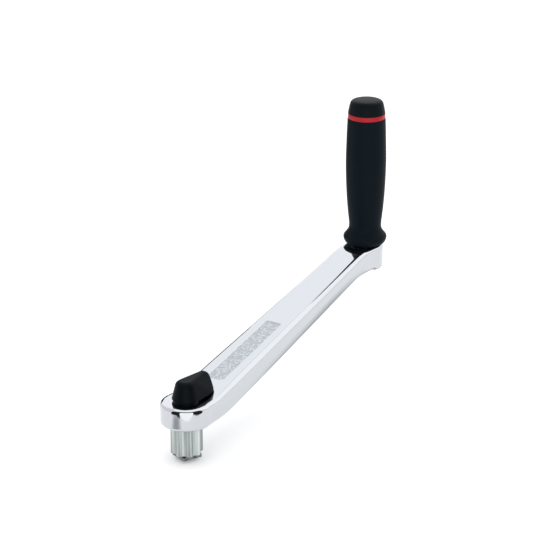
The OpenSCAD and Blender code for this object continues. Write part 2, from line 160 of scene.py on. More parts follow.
# Numbers that shape the lock knob
class KnobSettings(bpy.types.PropertyGroup):
    radius: FloatProperty(name="Radius", description="Radius of the round ends, in mm", default=10.4)
    reach: FloatProperty(name="Reach", description="From the shaft to the lever's end, in mm", default=17.6)
    height: FloatProperty(name="Height", description="Height above the head, in mm", default=15.8)
    draft: FloatProperty(
        name="Draft", description="Lean of the sides", subtype="ANGLE", default=math.radians(14)
    )
    edge: FloatProperty(name="Edge", description="Radius of the knob's upper edge, in mm", default=3.2)
    cell: FloatProperty(name="Cell", description="Size of the mesh's cells, in mm", default=0.5)


# Numbers that shape the star stud and the lock plate
class StudSettings(bpy.types.PropertyGroup):
    flats: FloatProperty(name="Flats", description="Width across each square's flats, in mm", default=17.46)
    tips: FloatProperty(name="Tips", description="Diameter across the blunted points, in mm", default=23.9)
    plate: FloatProperty(name="Plate", description="Width of the lock plate, in mm", default=15.6)
    bevel: FloatProperty(name="Bevel", description="Break on the machined edges, in mm", default=0.35)


# Colours of the moulded pieces
class FinishSettings(bpy.types.PropertyGroup):
    grip: FloatVectorProperty(
        name="Grip", description="Colour of the grip", subtype="COLOR", size=4, min=0, max=1,
        default=linear("#091319"),
    )
    ring: FloatVectorProperty(
        name="Ring", description="Colour of the ring", subtype="COLOR", size=4, min=0, max=1,
        default=linear("#a50f1c"),
    )
    cap: FloatVectorProperty(
        name="Cap", description="Colour of the end cap", subtype="COLOR", size=4, min=0, max=1,
        default=linear("#080f13"),
    )
    knob: FloatVectorProperty(
        name="Knob", description="Colour of the lock knob", subtype="COLOR", size=4, min=0, max=1,
        default=linear("#070e13"),
    )


# Numbers of the studio
class StudioSettings(bpy.types.PropertyGroup):
    surround: FloatProperty(name="Surround", description="Brightness of the white surround", default=1.0)
    overhead: FloatProperty(name="Overhead", description="Brightness of the overhead softbox", default=1.5)
    back: FloatProperty(name="Back", description="Brightness of the reflector at the back", default=1.4)
    right: FloatProperty(name="Right", description="Brightness of the reflector on the right", default=1.5)
    front: FloatProperty(name="Front", description="Brightness of the front reflectors", default=1.55)
    floor_glow: FloatProperty(name="Floor glow", description="Brightness of the lit table top", default=0.2)


# Sets a node's inputs, or links them where the value is another node's output
def feed(tree, node, inputs):
    for name, value in dict(inputs).items():
        if isinstance(value, bpy.types.NodeSocket):
            tree.links.new(value, node.inputs[name])
        else:
            node.inputs[name].default_value = value
    return node


# Adds a node with its own values, and feeds it
def add(tree, kind, inputs=(), **values):
    node = tree.nodes.new(kind)
    for name, value in values.items():
        setattr(node, name, value)
    return feed(tree, node, inputs)


# New material with its shader, and the object's own coordinates in millimetres
def new_material(name, **values):
    material = bpy.data.materials.new(name)
    material.use_nodes = True
    tree = material.node_tree
    shader = next(n for n in tree.nodes if n.type == "BSDF_PRINCIPLED")
    feed(tree, shader, {key.replace("_", " "): value for key, value in values.items()})
    place = add(tree, "ShaderNodeTexCoord").outputs["Object"]
    scale = add(tree, "ShaderNodeVectorMath", {0: place, 1: (1000, 1000, 1000)}, operation="MULTIPLY")
    return material, tree, shader, scale.outputs[0]


# Roughness that wanders between two values with a noise of a real size
def wander(tree, shader, where, size, low, high, detail=3.0):
    noise = add(tree, "ShaderNodeTexNoise", {"Vector": where, "Scale": 1 / size, "Detail": detail})
    spread = add(
        tree, "ShaderNodeMapRange",
        {"Value": noise.outputs["Fac"], "From Min": 0.3, "From Max": 0.7, "To Min": low, "To Max": high},
    )
    feed(tree, shader, {"Roughness": spread.outputs["Result"]})
    return noise.outputs["Fac"]


# Forging buffed bright and chrome plated: nearly a mirror, with the slow waviness that hand buffing leaves.
# The floor of the sunk panel is left as forged: a plain pebbled stipple that scatters the light, with painted
# shade that darkens the crevices between the pebbles.
def chrome():
    material, tree, shader, where = new_material("chrome_plate", Metallic=1.0, Roughness=0.05)
    s = bpy.context.scene.crank_arm
    buff_size, wave_size, pebble_size = 14, 17, 2.3
    reach = s.panel_length / 2 * math.cos(ARM_ANGLE)

    # Mask of the panel's floor: inside the panel's outline, below the bar's top, and facing the way it slopes
    slope = (-math.sin(ARM_ANGLE), 0.0, math.cos(ARM_ANGLE))
    apart = add(tree, "ShaderNodeSeparateXYZ", {"Vector": where})
    across = add(tree, "ShaderNodeMath", {0: apart.outputs["Y"]}, operation="ABSOLUTE")
    near = add(tree, "ShaderNodeMath", {0: across.outputs[0], 1: s.panel_width / 2}, operation="LESS_THAN")
    off = add(tree, "ShaderNodeMath", {0: apart.outputs["X"], 1: PANEL_START + reach}, operation="SUBTRACT")
    off = add(tree, "ShaderNodeMath", {0: off.outputs[0]}, operation="ABSOLUTE")
    within = add(tree, "ShaderNodeMath", {0: off.outputs[0], 1: reach + 1.9}, operation="LESS_THAN")
    above = add(tree, "ShaderNodeVectorMath", {0: where, 1: slope}, operation="DOT_PRODUCT")
    level = (SLOPE_START - TOP_DROP) * math.cos(ARM_ANGLE)
    below = add(
        tree, "ShaderNodeMapRange",
        {
            "Value": above.outputs["Value"], "From Min": level - s.panel_depth / 2,
            "From Max": level - s.panel_depth * 5 / 6, "To Min": 0.0, "To Max": 1.0,
        },
    )
    normal = add(tree, "ShaderNodeNewGeometry").outputs["True Normal"]
    upward = add(tree, "ShaderNodeVectorMath", {0: normal, 1: slope}, operation="DOT_PRODUCT")
    flat = add(tree, "ShaderNodeMath", {0: upward.outputs["Value"], 1: 0.9}, operation="GREATER_THAN")
    panel = near.outputs[0]
    for part in (within.outputs[0], flat.outputs[0], below.outputs["Result"]):
        panel = add(tree, "ShaderNodeMath", {0: panel, 1: part}, operation="MULTIPLY").outputs[0]

    buffed = add(tree, "ShaderNodeTexNoise", {"Vector": where, "Scale": 1 / buff_size, "Detail": 3.0})
    polish = add(
        tree, "ShaderNodeMapRange",
        {
            "Value": buffed.outputs["Fac"], "From Min": 0.3, "From Max": 0.7,
            "To Min": 0.035, "To Max": 0.075,
        },
    )
    rough = add(
        tree, "ShaderNodeMapRange", {"Value": panel, "To Min": polish.outputs["Result"], "To Max": 0.22}
    )
    pebble = add(tree, "ShaderNodeTexVoronoi", {"Vector": where, "Scale": 1 / pebble_size})
    pebbled = add(tree, "ShaderNodeMath", {0: pebble.outputs["Distance"], 1: panel}, operation="MULTIPLY")
    # Chrome's own pale grey, painted darker towards the crevices between the pebbles: painted shade in the
    # stipple's hollows
    chrome_with_crevice_shade = add(tree, "ShaderNodeValToRGB", {"Fac": pebbled.outputs[0]})
    chrome_with_crevice_shade.color_ramp.elements[0].position, chrome_with_crevice_shade.color_ramp.elements[1].position = 0.12, 0.6
    chrome_with_crevice_shade.color_ramp.elements[0].color = linear("#c5c8cc")
    chrome_with_crevice_shade.color_ramp.elements[1].color = linear("#a6abaf")
    # The stipple goes nine times as deep as the waviness
    wave = add(tree, "ShaderNodeTexNoise", {"Vector": where, "Scale": 1 / wave_size, "Detail": 1.0})
    height = add(
        tree, "ShaderNodeMath", {0: pebbled.outputs[0], 1: -9.0, 2: wave.outputs["Fac"]},
        operation="MULTIPLY_ADD",
    )
    bump = add(tree, "ShaderNodeBump", {"Height": height.outputs[0], "Strength": 1.0, "Distance": 0.05 * MM})
    feed(tree, shader, {
        "Base Color": chrome_with_crevice_shade.outputs["Color"], "Roughness": rough.outputs["Result"],
        "Normal": bump.outputs["Normal"],
    })
    return material


# Drawn steel bar with a satin finish: light and dark drawing marks run along the axis. The real ones are
# finer, and are drawn about 2 mm wide so that they show.
def satin_steel():
    material, tree, shader, where = new_material("satin_steel", Metallic=1.0, Roughness=0.3)
    stretch = add(tree, "ShaderNodeVectorMath", {0: where, 1: (1.0, 1.0, 0.015)}, operation="MULTIPLY")
    noise = add(tree, "ShaderNodeTexNoise", {"Vector": stretch.outputs[0], "Scale": 1 / 1.9, "Detail": 3.0})
    marks = noise.outputs["Fac"]
    shade = add(tree, "ShaderNodeValToRGB", {"Fac": marks})
    shade.color_ramp.elements[0].position, shade.color_ramp.elements[1].position = 0.36, 0.64
    shade.color_ramp.elements[0].color = linear("#838b89")
    shade.color_ramp.elements[1].color = linear("#ccd1d0")
    spread = add(
        tree, "ShaderNodeMapRange",
        {"Value": marks, "From Min": 0.3, "From Max": 0.7, "To Min": 0.34, "To Max": 0.2},
    )
    bump = add(tree, "ShaderNodeBump", {"Height": marks, "Strength": 1.0, "Distance": 0.04 * MM})
    feed(tree, shader, {
        "Base Color": shade.outputs["Color"], "Roughness": spread.outputs["Result"],
        "Normal": bump.outputs["Normal"],
    })
    return material


# Hardened steel of the lock plate: darker, with a brighter bloom where it rubs
def lock_steel():
    material, tree, shader, where = new_material("hardened_steel", Metallic=1.0, Roughness=0.34)
    bloom = wander(tree, shader, where, 2.5, 0.26, 0.42)
    shade = add(tree, "ShaderNodeValToRGB", {"Fac": bloom})
    shade.color_ramp.elements[0].position, shade.color_ramp.elements[1].position = 0.38, 0.66
    shade.color_ramp.elements[0].color = linear("#54585a")
    shade.color_ramp.elements[1].color = linear("#8b8f8f")
    feed(tree, shader, {"Base Color": shade.outputs["Color"]})
    return material


# Turned or stamped steel, zinc plated: pale grey, with a slightly uneven shine
def bright_steel():
    material, tree, shader, where = new_material(
        "zinc_plated_steel", Base_Color=linear("#b4b6b8"), Metallic=1.0, Roughness=0.25
    )
    wander(tree, shader, where, 2.0, 0.2, 0.34)
    return material


# Steel fastener with a dark oxide finish: nearly black, with a soft shine
def black_steel():
    material, tree, shader, where = new_material(
        "black_oxide_steel", Base_Color=linear("#3a3b3d"), Metallic=1.0, Roughness=0.35
    )
    wander(tree, shader, where, 1.5, 0.28, 0.42)
    return material


# Cold drawn spring wire: mid grey, with fine uneven drawing marks
def spring_steel():
    material, tree, shader, where = new_material(
        "spring_wire", Base_Color=linear("#8f9296"), Metallic=1.0, Roughness=0.3
    )
    wander(tree, shader, where, 0.8, 0.25, 0.4)
    return material


# Ground and polished bearing steel: bright and sharp in its reflections
def bearing_steel():
    material, tree, shader, where = new_material(
        "bearing_steel", Base_Color=linear("#c6c8ca"), Metallic=1.0, Roughness=0.12
    )
    wander(tree, shader, where, 3.0, 0.09, 0.16)
    return material


# Natural moulded nylon: cream, with a dull sheen
def nylon():
    material, tree, shader, where = new_material("nylon", Base_Color=linear("#d9d5c8"), Roughness=0.5)
    wander(tree, shader, where, 1.0, 0.42, 0.56)
    return material


# Moulded black material: its colour and gloss, and its grain's size and height in mm and range of roughness
def moulded(name, colour, roughness, specular, grain, low, high, height):
    material, tree, shader, where = new_material(
        name, Base_Color=tuple(colour), Roughness=roughness, Specular_IOR_Level=specular
    )
    grains = wander(tree, shader, where, grain, low, high, 2.0)
    bump = add(tree, "ShaderNodeBump", {"Height": grains, "Strength": 1.0, "Distance": height * MM})
    feed(tree, shader, {"Normal": bump.outputs["Normal"]})
    return material


# Moulded black plastic of the knob: satin, from a spark-eroded grain that is drawn coarse enough to show
def knob_plastic():
    colour = bpy.context.scene.crank_finish.knob
    return moulded("moulded_plastic", colour, 0.36, 0.045, grain=0.35, low=0.34, high=0.46, height=0.012)


# Moulded black elastomer of the grip: duller, with a faint grain that is drawn coarse enough to show
def grip_rubber():
    colour = bpy.context.scene.crank_finish.grip
    return moulded("moulded_elastomer", colour, 0.44, 0.045, grain=0.45, low=0.42, high=0.54, height=0.02)


# Moulded black plastic of the end cap: a little smoother than the grip
def cap_plastic():
    colour = bpy.context.scene.crank_finish.cap
    return moulded("cap_plastic", colour, 0.4, 0.06, grain=0.4, low=0.36, high=0.46, height=0.012)


# Soft black seal rubber: dull
def seal_rubber():
    material, tree, shader, where = new_material("seal_rubber", Base_Color=linear("#101012"), Roughness=0.7)
    wander(tree, shader, where, 0.6, 0.62, 0.78)
    return material


# Moulded red plastic of the ring: a clear red with a low gloss
def red_plastic():
    colour = tuple(bpy.context.scene.crank_finish.ring)
    material, tree, shader, where = new_material(
        "red_plastic", Base_Color=colour, Roughness=0.32, Specular_IOR_Level=0.2
    )
    wander(tree, shader, where, 0.8, 0.28, 0.38)
    return material


MAKERS = {
    "chromed_forging": chrome, "satin_steel": satin_steel, "bright_steel": bright_steel,
    "spring_steel": spring_steel, "bearing_steel": bearing_steel, "nylon": nylon,
    "knob_plastic": knob_plastic, "grip_rubber": grip_rubber, "cap_plastic": cap_plastic,
    "seal_rubber": seal_rubber, "red_plastic": red_plastic,
    "black_steel": black_steel, "lock_steel": lock_steel,
}
made = {}


# Material of a slot, or of a finish of its own, made once
def finish_of(slot):
    if slot not in made:
        made[slot] = MAKERS[slot]()
    return made[slot]


# Height of the arm's top at x
def arm_top(x):
    line = SLOPE_START + SLOPE * x
    eased = line - SLOPE * (x - SLOPE_END + BLEND_HALF) ** 2 / (4 * BLEND_HALF)
    return np.where(x < SLOPE_END - BLEND_HALF, line, np.where(x > SLOPE_END + BLEND_HALF, BOSS_TOP, eased))


# Half width of the bar at x, which flares into the boss
def arm_half(x):
    share = np.clip(x / SLOPE_END, 0, 1)
    plain = (BAR_HEAD + (BAR_BOSS - BAR_HEAD) * share) / 2
    flare = np.clip((x - SLOPE_END) / (CRANK - 4 - SLOPE_END), 0, 1)
    return plain + (BOSS_R - 0.3 - plain) * flare**2


# Height of the solid bar's underside at x, without the belly
def arm_low(x):
    share = np.clip(x / SLOPE_END, 0, 1)
    line = SLOPE_START + SLOPE * np.minimum(x, SLOPE_END)
    return line - BAR_DEPTH + BAR_THINS * share + BAR_THINS * (1 - share) ** 6


# Smooth union of two distances over a width k
def blend_min(a, b, k):
    h = np.maximum(k - np.abs(a - b), 0) / k
    return np.minimum(a, b) - h * h * k / 4


# Two distances met in a round edge of radius r
def round_max(a, b, r):
    qa, qb = a + r, b + r
    return np.hypot(np.maximum(qa, 0), np.maximum(qb, 0)) + np.minimum(np.maximum(qa, qb), 0) - r


# Distance to the arm's surface, below zero inside, from points in millimetres
def arm_distance(x, y, z, s):
    # Widths over which bar, head and boss flow together, and the boss's drop and edge below the bar
    union, under, foot, drop, boss_edge = 0.8, 2.5, 1.5, 0.9, 1.0
    head = np.hypot(x, y) - HEAD_R
    boss = np.hypot(x - CRANK, y) - BOSS_R
    high = arm_top(np.maximum(x, 0))
    share = np.clip(x / SLOPE_END, 0, 1)
    low = arm_low(x) - s.belly - (s.belly_end - s.belly) * share
    low = blend_min(-blend_min(-low, np.zeros_like(x), under), np.full_like(x, BOSS_LOW + drop), foot)
    # Bar with crowned sides, which fade into the head behind the drive axis
    lift = np.clip((2 * z - low - high) / (high - low), -1, 1)
    behind = 0.056 * np.minimum(x, 0) ** 2
    bar = (np.abs(y) - arm_half(np.clip(x, 0, CRANK)) + s.crown * lift**2 + behind) * 0.995
    bar = np.maximum(bar, x - CRANK)
    shaft = blend_min(bar, head, union)
    outline = blend_min(shaft, boss, union)
    # Top, whose edges grow rounder away from the head and sharper again at the boss
    ease = np.clip((x - SLOPE_END + 2 * BLEND_HALF) / (2 * BLEND_HALF), 0, 1)
    slope_top = high - TOP_DROP * (1 - ease * ease * (3 - 2 * ease))
    top = -blend_min(-slope_top, np.full_like(x, -HEAD_H), 1.0)
    rounder = np.clip((x - 12) / 30, 0, 1) * np.clip((SLOPE_END + 6 - x) / 24, 0, 1)
    edge = s.head_edge + (s.edge - s.head_edge) * rounder
    upper = round_max(outline, (z - top) * math.cos(ARM_ANGLE / 2), edge)
    low_bar = round_max(shaft, (low - z) * math.cos(ARM_ANGLE), s.low_edge)
    low_boss = round_max(boss, BOSS_LOW - z, boss_edge)
    body = np.maximum(upper, blend_min(low_bar, low_boss, 2.0))
    # Sunk panel, in the slope's own directions: its corners, its walls' lean, and the rounds at floor and rim
    corner, lean, floor_round, rim = 3.0, 0.25, 0.25, 0.3
    rise = z - SLOPE_START + TOP_DROP
    along = x * math.cos(ARM_ANGLE) + rise * math.sin(ARM_ANGLE) - PANEL_START / math.cos(ARM_ANGLE)
    above = -x * math.sin(ARM_ANGLE) + rise * math.cos(ARM_ANGLE)
    qx = np.abs(along - s.panel_length / 2) - s.panel_length / 2 + corner
    qy = np.abs(y) - s.panel_width / 2 + corner
    side = np.hypot(np.maximum(qx, 0), np.maximum(qy, 0)) + np.minimum(np.maximum(qx, qy), 0) - corner
    pocket = round_max(side - lean * above, -s.panel_depth - above, floor_round)
    body = -blend_min(-body, pocket, rim)
    # Bores for the stud, the spring, the stop pin and the spindle
    r = np.hypot(x, y)
    bores = np.minimum(np.maximum(r - SHANK_R, z - SHANK_H), np.maximum(r - WELL_R, WELL_LOW - z))
    bores = np.minimum(bores, np.maximum(np.hypot(x - PIN_AT, y) - PIN_R, PIN_LOW - z))
    bores = np.minimum(bores, np.hypot(x - CRANK, y) - SPINDLE_R)
    return np.maximum(body, -bores)


# Distance to a curved slot: its radius and half width in mm, its middle and half length in degrees
def slot_distance(r, turn, z, radius, half, middle, reach):
    return np.maximum(np.maximum(np.abs(r - radius) - half, np.abs(turn - middle) - reach), z - SLOT_TOP)


# Distance to the knob's surface, below zero inside, from points in millimetres
def knob_distance(x, y, z, s):
    spine = np.hypot(x - np.clip(x, 0, s.reach), y)
    skirt = KNOB_LOW + 0.6
    side = (spine - s.radius) * math.cos(s.draft) + (z - skirt) * math.sin(s.draft)
    outline = np.maximum(side, spine - s.radius)
    # Finger flats on the lever's two flanks: how far in they lie, past the lever's end and above the head
    inset, past, above = 5.3, 3.6, 12.3
    turn, tilt = math.radians(10), math.radians(25)
    across = (np.abs(y) - s.radius + inset) * math.cos(turn) + (x - s.reach - past) * math.sin(turn)
    flat = across * math.cos(tilt) + (z - HEAD_H - above) * math.sin(tilt)
    outline = -blend_min(-outline, -flat, 0.5)
    body = round_max(outline, z - HEAD_H - s.height, s.edge)
    # The lever's underside stays clear of the sloping arm
    r = np.hypot(x, y)
    step = (KNOB_LOW - SLOPE_START - 0.45) / SLOPE
    low = KNOB_LOW + SLOPE * np.maximum(r - step, 0)
    body = round_max(body, (low - z) * math.cos(ARM_ANGLE), 0.5)
    # Recess, square socket, and the slots of the stop pin and the spring's leg
    cut = np.maximum(np.maximum(np.abs(x), np.abs(y)) - SOCKET_HALF, z - SOCKET_TOP)
    cut = np.minimum(np.maximum(r - RECESS_R, z - RECESS_TOP), cut)
    turn = np.degrees(np.arctan2(y, x))
    stop = slot_distance(r, turn, z, PIN_AT, 1.3, -11.25, 18.1)
    leg = slot_distance(r, turn, z, 6.4, 0.9, 78.75, 19.4)
    return np.maximum(body, -np.minimum(cut, np.minimum(stop, leg)))


# Grid lines from low to high, a base step apart and closer where fine spans ask for it
def grid_lines(low, high, base, fine=()):
    places, at_now = [low], low
    while at_now < high:
        step = base
        for start, end, small in fine:
            if start - base < at_now + 1e-9 < end:
                step = min(step, small if at_now >= start else max(small, min(base, start - at_now)))
        at_now += step
        places.append(at_now)
    return np.array(places)


# Surface where a distance is zero: one point to each cell that it crosses, brought onto the surface
def surface_of(distance, lines, to_row):
    u, v, w = lines
    grid = np.stack(np.meshgrid(u, v, w, indexing="ij"), -1)
    value = distance(*np.moveaxis(to_row(grid), -1, 0))
    inside = value < 0
    n = [len(a) - 1 for a in lines]
    total = np.zeros(n + [3])
    count = np.zeros(n)
    for axis in range(3):
        for da in (0, 1):
            for db in (0, 1):
                first = [slice(0, m) for m in n]
                other = [a for a in range(3) if a != axis]
                for a, d in zip(other, (da, db)):
                    first[a] = slice(d, n[a] + d)
                second = list(first)
                second[axis] = slice(1, n[axis] + 1)
                first, second = tuple(first), tuple(second)
                a, b = value[first], value[second]
                crossed = (a < 0) != (b < 0)
                share = np.where(crossed, a / np.where(crossed, a - b, 1), 0)[..., None]
                total += np.where(crossed[..., None], grid[first] * (1 - share) + grid[second] * share, 0)
                count += crossed
    used = count > 0
    index = np.full(n, -1)
    index[used] = np.arange(used.sum())
    points = to_row(total[used] / count[used][:, None])
    faces = []
    for axis in range(3):
        a1, a2 = [(1, 2), (2, 0), (0, 1)][axis]
        low = [slice(1, m) for m in n]
        low[axis] = slice(0, n[axis])
        high = list(low)
        high[axis] = slice(1, n[axis] + 1)
        first, second = inside[tuple(low)], inside[tuple(high)]
        for picked, flipped in ((first & ~second, False), (~first & second, True)):
            found = np.argwhere(picked)
            found[:, a1] += 1
            found[:, a2] += 1
            corner = []
            for d1, d2 in ((1, 1), (0, 1), (0, 0), (1, 0)):
                cell = found.copy()
                cell[:, a1] -= d1
                cell[:, a2] -= d2
                corner.append(index[tuple(cell.T)])
            quads = np.stack(corner, 1)
            faces.append(quads[:, ::-1] if flipped else quads)
    faces = np.concatenate(faces)
    for _ in range(4):
        near = distance(*points.T)
        slope = gradient(distance, points)
        points -= slope * (near / np.maximum((slope**2).sum(1), 1e-6))[:, None] * 0.9
    return points, faces, gradient(distance, points)


# Direction in which a distance grows
def gradient(distance, points, h=0.02):
    steps = []
    for axis in range(3):
        d = np.zeros(3)
        d[axis] = h
        steps.append((distance(*(points + d).T) - distance(*(points - d).T)) / (2 * h))
    return np.stack(steps, 1)


# Object from points in millimetres, its faces and, where given, the surface's own directions
def mesh_object(name, points, faces, normals=None):
    mesh = bpy.data.meshes.new(name)
    mesh.from_pydata((points * MM).tolist(), [], faces.tolist())
    mesh.update()
    mesh.polygons.foreach_set("use_smooth", [True] * len(mesh.polygons))
    if normals is not None:
        length = np.maximum(np.linalg.norm(normals, axis=1), 1e-9)
        mesh.normals_split_custom_set_from_vertices((normals / length[:, None]).tolist())
    item = bpy.data.objects.new(name, mesh)
    bpy.context.scene.collection.objects.link(item)
    return item


# Turned piece: an outline of [radius, height] points spun about a vertical axis at x, kept sharp where the
# outline turns by more than so many degrees
def turned(name, outline, x, segments, sharp=28):
    outline = np.array(outline, float)
    hard_rows = set()
    for i in range(1, len(outline) - 1):
        before, after = outline[i] - outline[i - 1], outline[i + 1] - outline[i]
        cosine = np.dot(before, after) / (np.linalg.norm(before) * np.linalg.norm(after) + 1e-12)
        if math.degrees(math.acos(max(-1, min(1, cosine)))) > sharp:
            hard_rows.add(i)
    angle = np.linspace(0, 2 * math.pi, segments, endpoint=False)
    points, faces = [], []
    for r, z in outline:
        points.append(np.stack([x + r * np.cos(angle), r * np.sin(angle), np.full(segments, z)], 1))
    for i in range(len(outline) - 1):
        a = i * segments + np.arange(segments)
        b = i * segments + (np.arange(segments) + 1) % segments
        faces.append(np.stack([a, b, b + segments, a + segments], 1))
    item = mesh_object(name, np.concatenate(points), np.concatenate(faces))
    work = bmesh.new()
    work.from_mesh(item.data)
    for edge in work.edges:
        i, j = (v.index // segments for v in edge.verts)
        if i == j and i in hard_rows:
            edge.smooth = False
    bmesh.ops.remove_doubles(work, verts=work.verts, dist=1e-7)
    bmesh.ops.recalc_face_normals(work, faces=work.faces)
    work.to_mesh(item.data)
    work.free()
    return item


# Rounded corner for an outline: points on a quarter turn between two angles, in degrees
def arc(r, z, radius, start, end, steps=4):
    turns = [math.radians(start + (end - start) * i / steps) for i in range(steps + 1)]
    return [(r + radius * math.cos(t), z + radius * math.sin(t)) for t in turns]


# Points of a smooth curve through [radius, height] stations, a few steps to each span
def smooth_curve(stations, steps=8):
    out = []
    last = len(stations) - 1
    s = [np.array(p, float) for p in stations]
    for i in range(last):
        a, b, c, d = s[max(0, i - 1)], s[i], s[i + 1], s[min(last, i + 2)]
        for k in range(steps):
            t = k / steps
            square, cube = 2 * a - 5 * b + 4 * c - d, 3 * b - a - 3 * c + d
            out.append(0.5 * (2 * b + (c - a) * t + square * t * t + cube * t**3))
    out.append(s[last])
    return [tuple(p) for p in out]


# A piece that stands for CAD nodes, on its body, with its material
def place(piece, body, slot, *nodes, finish=None):
    piece.data.materials.append(finish_of(finish or slot))
    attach(piece, body)
    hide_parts(*nodes)
    return piece


class CRANK_OT_arm(bpy.types.Operator):
    """Build the chromed arm with its head, boss and sunk panel"""

    bl_idname = "crank.arm"
    bl_label = "Build arm"

    def execute(self, context):
        s = context.scene.crank_arm
        c, n = math.cos(ARM_ANGLE), math.sin(ARM_ANGLE)

        # Rows along, across and square to the slope, from its start on the drive axis
        def to_row(p):
            u, v, w = p[..., 0], p[..., 1], p[..., 2]
            return np.stack([u * c - w * n, v, SLOPE_START - TOP_DROP + u * n + w * c], -1)

        # Cells round the whole arm, finer along the panel's rim
        start = PANEL_START / c
        end = start + s.panel_length
        half = s.panel_width / 2
        rim, fine = 3.2, 0.3
        u = grid_lines(-24, 283, s.cell, [(start - 0.9, start + rim, fine), (end - rim, end + 0.9, fine)])
        spans = [(-half - 0.8, -half + rim, fine), (half - rim, half + 0.8, fine)]
        v = grid_lines(-20.5, 20.5, s.cell, spans)
        w = grid_lines(-32, 8, s.cell, [(-s.panel_depth - 0.3, 0.3, 0.2)])
        points, faces, normals = surface_of(lambda x, y, z: arm_distance(x, y, z, s), (u, v, w), to_row)
        piece = mesh_object("arm_forging", points, faces, normals)
        place(piece, "crank", "chromed_forging", "arm")
        return {"FINISHED"}


class CRANK_OT_grip(bpy.types.Operator):
    """Build the grip, its coloured ring and its end cap"""

    bl_idname = "crank.grip"
    bl_label = "Build grip"

    def execute(self, context):
        s = context.scene.crank_grip
        length, neck = GRIP_TOP - GRIP_LOW, 15.8
        palm, lift = length - neck, s.swell - s.neck
        outer = smooth_curve([
            (s.flange - 1.9, 0), (s.flange - 1.1, 1), (s.flange - 0.1, 3.2), (s.flange - 0.1, 5.8),
            ((s.flange + s.neck) / 2, 8.6), (s.neck + 0.5, 11.4), (s.neck, neck),
            (s.neck + 0.34 * lift, neck + 0.12 * palm), (s.neck + 0.65 * lift, neck + 0.25 * palm),
            (s.neck + 0.9 * lift, neck + 0.42 * palm), (s.swell, neck + 0.6 * palm),
            (s.swell - 0.25, neck + 0.74 * palm), ((s.swell + s.top) / 2 - 0.1, neck + 0.88 * palm),
            (s.top, length - 0.6),
        ])
        rim = [(s.top - 0.15, length - 0.2), (s.top - 0.5, length)]
        step, seat = length - STEP_DEPTH, length - SEAT_HIGH
        bore = [
            (STEP_R, length), (STEP_R, step), (SEAT_R, step), (SEAT_R, seat),
            (TUBE_R, seat), (TUBE_R, SEAT_LOW), (SEAT_R, SEAT_LOW),
        ]
        outline = [(SEAT_R, 0.0)] + outer + rim + bore + [(SEAT_R, 0.0)]
        piece = turned("grip_handle", [(r, z + GRIP_LOW) for r, z in outline], CRANK, s.segments)
        place(piece, "grip", "grip_rubber", "grip_body")

        height, edge = RING_TOP - GRIP_TOP, 0.3
        low = arc(s.ring - edge, edge, edge, -90, 0)
        high = arc(s.ring - edge, height - edge, edge, 0, 90)
        outline = [(STEP_R, 0)] + low + high + [(STEP_R, height), (STEP_R, 0)]
        piece = turned("accent_band", [(r, z + GRIP_TOP) for r, z in outline], CRANK, s.segments)
        place(piece, "grip", "red_plastic", "accent_ring")

        height = CAP_TOP - RING_TOP
        dome = smooth_curve([
            (s.ring - 0.35, 0), (s.ring - 0.05, 0.5), (s.ring - 0.75, 0.4 * height),
            (s.ring - 1.25, 0.62 * height), (s.ring - 2.1, 0.84 * height), (s.ring - 3.6, 0.955 * height),
            (s.ring - 5.6, height),
        ])
        spigot = [(SPIGOT_R, -SPIGOT_LENGTH), (SPIGOT_R, 0)]
        hollow = [
            (0, height), (0, height - CAP_ROOF), (SPIGOT_BORE, height - CAP_ROOF),
            (SPIGOT_BORE, -SPIGOT_LENGTH), (SPIGOT_R, -SPIGOT_LENGTH),
        ]
        outline = spigot + dome + hollow
        piece = turned("end_cap", [(r, z + RING_TOP) for r, z in outline], CRANK, s.segments)
        place(piece, "grip", "cap_plastic", "grip_cap")
        return {"FINISHED"}


class CRANK_OT_knob(bpy.types.Operator):
    """Build the moulded lever knob that turns the lock"""

    bl_idname = "crank.knob"
    bl_label = "Build lock knob"

    def execute(self, context):
        s = context.scene.crank_knob
        # Cells round the whole knob, finer at its foot
        x = grid_lines(-12, 28, s.cell)
        y = grid_lines(-12, 12, s.cell)
        z = grid_lines(16.2, 33.5, s.cell, [(18.3, 19.7, 0.2)])
        points, faces, normals = surface_of(lambda *p: knob_distance(*p, s), (x, y, z), lambda p: p)
        piece = mesh_object("lever_knob", points, faces, normals)
        place(piece, "lock", "knob_plastic", "lock_knob")
        return {"FINISHED"}


# Outline of two equal squares an eighth of a turn apart, with blunted points
def star_points(flats, tips):
    half, tip = flats / 2, tips / 2
    inner = half / math.cos(math.radians(22.5))
    blunt = math.pi / 4 - math.acos(half / tip)
    out = []
    for i in range(8):
        middle = math.radians(45 * i)
        for r, turn in ((inner, -math.radians(22.5)), (tip, -blunt), (tip, blunt)):
            out.append((r * math.cos(middle + turn), r * math.sin(middle + turn)))
    return out


